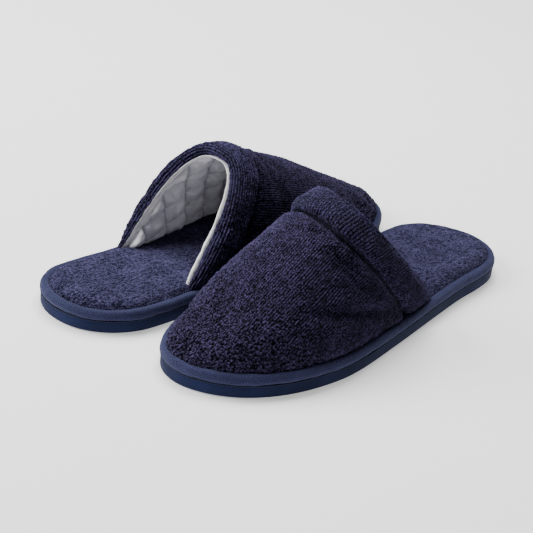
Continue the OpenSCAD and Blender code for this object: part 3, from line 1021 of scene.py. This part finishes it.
def make_cuff(side):
    """Folded band of ribbed terry, full of filler, with its edge turned in at the rim."""
    seed = 51 if side == "left" else 52
    w = THROAT[side][3]
    n, m = 321, 144
    section = cuff_section(w, m)
    p = swept(side, section, n)
    nrm = unit(np.cross(np.gradient(p, axis=0), np.roll(p, -1, 1) - np.roll(p, 1, 1)))
    centre = p.mean(axis=1, keepdims=True)
    nrm *= np.sign((nrm * (p - centre)).sum(axis=-1).mean())
    g, d = section.T[:, None]
    blown = cuff_swell(side, section, n)
    blown = resized(np.concatenate([blown, blown[:, :1]], axis=1), n, m + 1)[:, :-1]
    arc = running(p.mean(axis=1))[:, None]
    pile = cuff_pile(side, p, section, arc, seed)
    hidden = np.clip((d - 3.0) / 1.5, 0, 1) * np.clip((g - 0.5) / 1.5, 0, 1)
    soft = 0.8 * value_noise(p, 30.0, seed + 5) + 0.5 * value_noise(p, 12.0, seed + 6)
    pucker = 0.45 * value_noise(p, 5.0, seed + 7) * np.exp(-(((g - w) / 7) ** 2))
    at, wide, most = CUFF_FULL[side]
    full = most * np.exp(-(((arc / arc[-1] - at) / wide) ** 2)) * np.clip((2.4 - d) / 2.4, 0, 1)
    p = p + nrm * ((1.9 * (pile - 0.4) + soft + pucker) * (1 - hidden) + full)[..., None] + blown
    p = pressed(side, p, section, arc)
    # The ends are pulled down onto the tape
    p[..., 2] -= 1.5 * np.exp(-np.minimum(arc, arc[-1] - arc) / 2.5)
    make_piece(
        side, "terry_cuff", "cuff_band", "cuff_terry", p, capped_faces(n, m), 0.8, pile=pile.ravel()
    )


def make_lining_edge(side):
    """White facing strip round the inside of the rim, just proud of the navy fold."""
    seed = 61 if side == "left" else 62
    n = 420
    d = LINING_D + LINING_T
    ctrl = [
        (-0.8, LINING_D - 0.2), (-2.3, d - 1.0), (-2.3, d + 0.3), (-0.6, d + 1.0), (1.4, d + 0.5),
        (3.0, d - 0.4), (3.4, d - 1.0), (2.8, LINING_D),
    ]
    section = closed_curve(ctrl, 4)
    p = swept(side, section, n)
    coords = cloth_coords(p)
    rim = swept(side, [(q[0], LINING_D) for q in section], n)
    along = running(p.mean(axis=1))
    # The strip shows most at its outer end and thins out round the rim
    wide = 0.25 + 0.95 * np.exp(-((along / 55) ** 2)) + 0.1 * value_noise(p.mean(axis=1), 9.0, seed + 3)
    back = np.clip((section[:, 0] - 0.5) / 3, 0, 1)
    p = rim + (p - rim) * (wide[:, None] * (1 - back) + back)[..., None]
    pucker = 0.45 * value_noise(p, 4.5, seed) + 0.2 * value_noise(p, 2.0, seed + 1)
    p = p + pucker[..., None] * unit(p - p.mean(axis=1, keepdims=True))
    p = pressed(side, p, section, along)
    near = np.minimum(along, along[-1] - along)
    p[..., 2] -= (1.3 * np.exp(-near / 5))[:, None]
    make_piece(
        side, "rim_facing", "lining_edge", "lining_edge", p, capped_faces(n, len(section)), 0.5,
        pile=np.ones(p.shape[0] * p.shape[1]), cloth=coords,
    )


def stitch(c, out, r, sides):
    """Rings of points along the path c: a stitch that arches outwards and thins at its ends."""
    side_way = np.cross(unit(c[-1] - c[0]), out)
    a = np.linspace(0, 2 * math.pi, sides, endpoint=False)[:, None]
    points = []
    for t, middle in zip(np.linspace(0, 1, len(c)), c):
        fat = r * math.sqrt(max(1 - (2 * t - 1) ** 2, 0.12))
        lift = 0.35 * math.sin(math.pi * t)
        points.append(middle + out * lift + fat * (np.cos(a) * side_way + np.sin(a) * out))
    return np.vstack(points)


def make_cuff_seam(side):
    """Stitches at the bottom of the groove between cuff and upper, on a dark tape."""
    w = THROAT[side][3]
    rail = swept(side, [(w - 0.1, 2.3), (w + 0.1, 2.3), (w, 1.9)], n=700)
    mid = rail[:, 0]
    s = running(mid)
    pitch, long, r, sides, rings = 3.4, 2.6, 0.38, 8, 5
    tape = swept(side, [(w - 1.4, 2.9), (w + 1.4, 2.9), (w + 1.4, 3.3), (w - 1.4, 3.3)], n=160)
    points = [tape.reshape(-1, 3)]
    faces = list(capped_faces(*tape.shape[:2]))
    count = len(points[0])
    for k in range(int(s[-1] / pitch)):
        at = k * pitch + 0.4 + long * np.linspace(0, 1, rings)
        c = np.stack([np.interp(at, s, mid[:, i]) for i in range(3)], axis=1)
        out = unit(rail[:, 2] - mid)[np.searchsorted(s, at[0]) % len(mid)]
        points.append(stitch(c, out, r, sides))
        faces += grid_quads(rings, sides, count, close_cols=True).tolist()
        faces.append(list(range(count + sides - 1, count - 1, -1)))
        faces.append([count + (rings - 1) * sides + i for i in range(sides)])
        count += rings * sides
    points = np.vstack(points)
    make_piece(side, "stitches", "cuff_seam", "seam_thread", points, faces, cloth=points)


HIDDEN = {"insole_board": "fibre_board", "insole_foam": "white_foam", "cuff_filler": "wadding"}


def dress_hidden(side):
    """Materials for the CAD pieces inside the slipper, which keep their CAD shape."""
    for node, look in HIDDEN.items():
        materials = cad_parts[side + "_" + node].data.materials
        materials.clear()
        materials.append(MATERIALS[look])


for side in SIDES:
    make_outsole(side)
    make_binding(side)
    make_sole_seam(side)
    make_insole(side)
    make_vamp(side)
    make_lining(side)
    make_cuff(side)
    make_lining_edge(side)
    make_cuff_seam(side)
    dress_hidden(side)

# ---- Floor, light and camera ----


# Half the floor's size, and how far it lies below the soles (m)
FLOOR_R = 6.0
FLOOR_DROP = 0.0005
# How much the floor and the sky shine by themselves, for the photo's plain white surroundings
FLOOR_GLOW = 0.5
SKY = 0.09
# Each light: place, size (m) and power (W). Both point at LIGHT_TARGET.
LIGHTS = {"key": ((-1.12, -0.9, 1.0), 1.1, 42), "top": ((-0.45, 0.45, 1.45), 1.1, 40)}
LIGHT_TARGET = (0, 0, 0.03)


def make_floor():
    """A pale studio floor that only stages the pair."""
    mesh = bpy.data.meshes.new("floor")
    r = FLOOR_R
    mesh.from_pydata([(-r, -r, 0), (r, -r, 0), (r, r, 0), (-r, r, 0)], [], [(0, 1, 2, 3)])
    floor = bpy.data.objects.new("floor", mesh)
    floor.location.z = -FLOOR_DROP
    bpy.context.scene.collection.objects.link(floor)
    m = Nodes("floor_white")
    pale = m.ramp(m.noise(2, 2.0), [(0.0, (0.90, 0.90, 0.90)), (1.0, (0.93, 0.93, 0.93))])
    m.link(pale, m.shader.inputs["Base Color"])
    m.set(Roughness=0.8, Specular_IOR_Level=0.1)
    m.set(Emission_Color=(1, 1, 1, 1), Emission_Strength=FLOOR_GLOW)
    mesh.materials.append(m.material)


def area_light(name, place, size, power):
    data = bpy.data.lights.new(name, "AREA")
    data.shape = "SQUARE"
    data.size = size
    data.energy = power
    light = bpy.data.objects.new(name, data)
    light.location = place
    light.rotation_euler = (Vector(LIGHT_TARGET) - Vector(place)).to_track_quat("-Z", "Y").to_euler()
    bpy.context.scene.collection.objects.link(light)


def make_lights():
    """Two soft lights from the left, and a weak white sky."""
    world = bpy.data.worlds.new("studio")
    world.use_nodes = True
    background = world.node_tree.nodes["Background"]
    background.inputs["Color"].default_value = (1.0, 1.0, 1.0, 1)
    background.inputs["Strength"].default_value = SKY
    bpy.context.scene.world = world
    for name, light in LIGHTS.items():
        area_light(name, *light)


# Camera: its place from the middle of the pair, in mm, its turns in degrees, its lens and sensor in mm
CAMERA_PLACE = (493.6, -666.3, 389.6)
CAMERA_HEADING = 37.3
CAMERA_PITCH = 24.53
CAMERA_ROLL = 6.0
CAMERA_LENS = 100.908066
CAMERA_SENSOR = 36.0


def make_camera():
    data = bpy.data.cameras.new("camera")
    data.sensor_width = CAMERA_SENSOR
    data.lens = CAMERA_LENS
    data.clip_start = 0.01
    camera = bpy.data.objects.new("camera", data)
    middle = (CENTRE["left"] + CENTRE["right"]) / 2
    x, y, z = CAMERA_PLACE
    camera.location = Vector((x + middle[0], y + middle[1], z)) * MM
    turn_z = Matrix.Rotation(math.radians(CAMERA_HEADING), 4, "Z")
    tilt = Matrix.Rotation(math.radians(90 - CAMERA_PITCH), 4, "X")
    roll = Matrix.Rotation(math.radians(CAMERA_ROLL), 4, "Z")
    camera.rotation_euler = (turn_z @ tilt @ roll).to_euler()
    bpy.context.scene.collection.objects.link(camera)
    bpy.context.scene.camera = camera


make_floor()
make_lights()
make_camera()
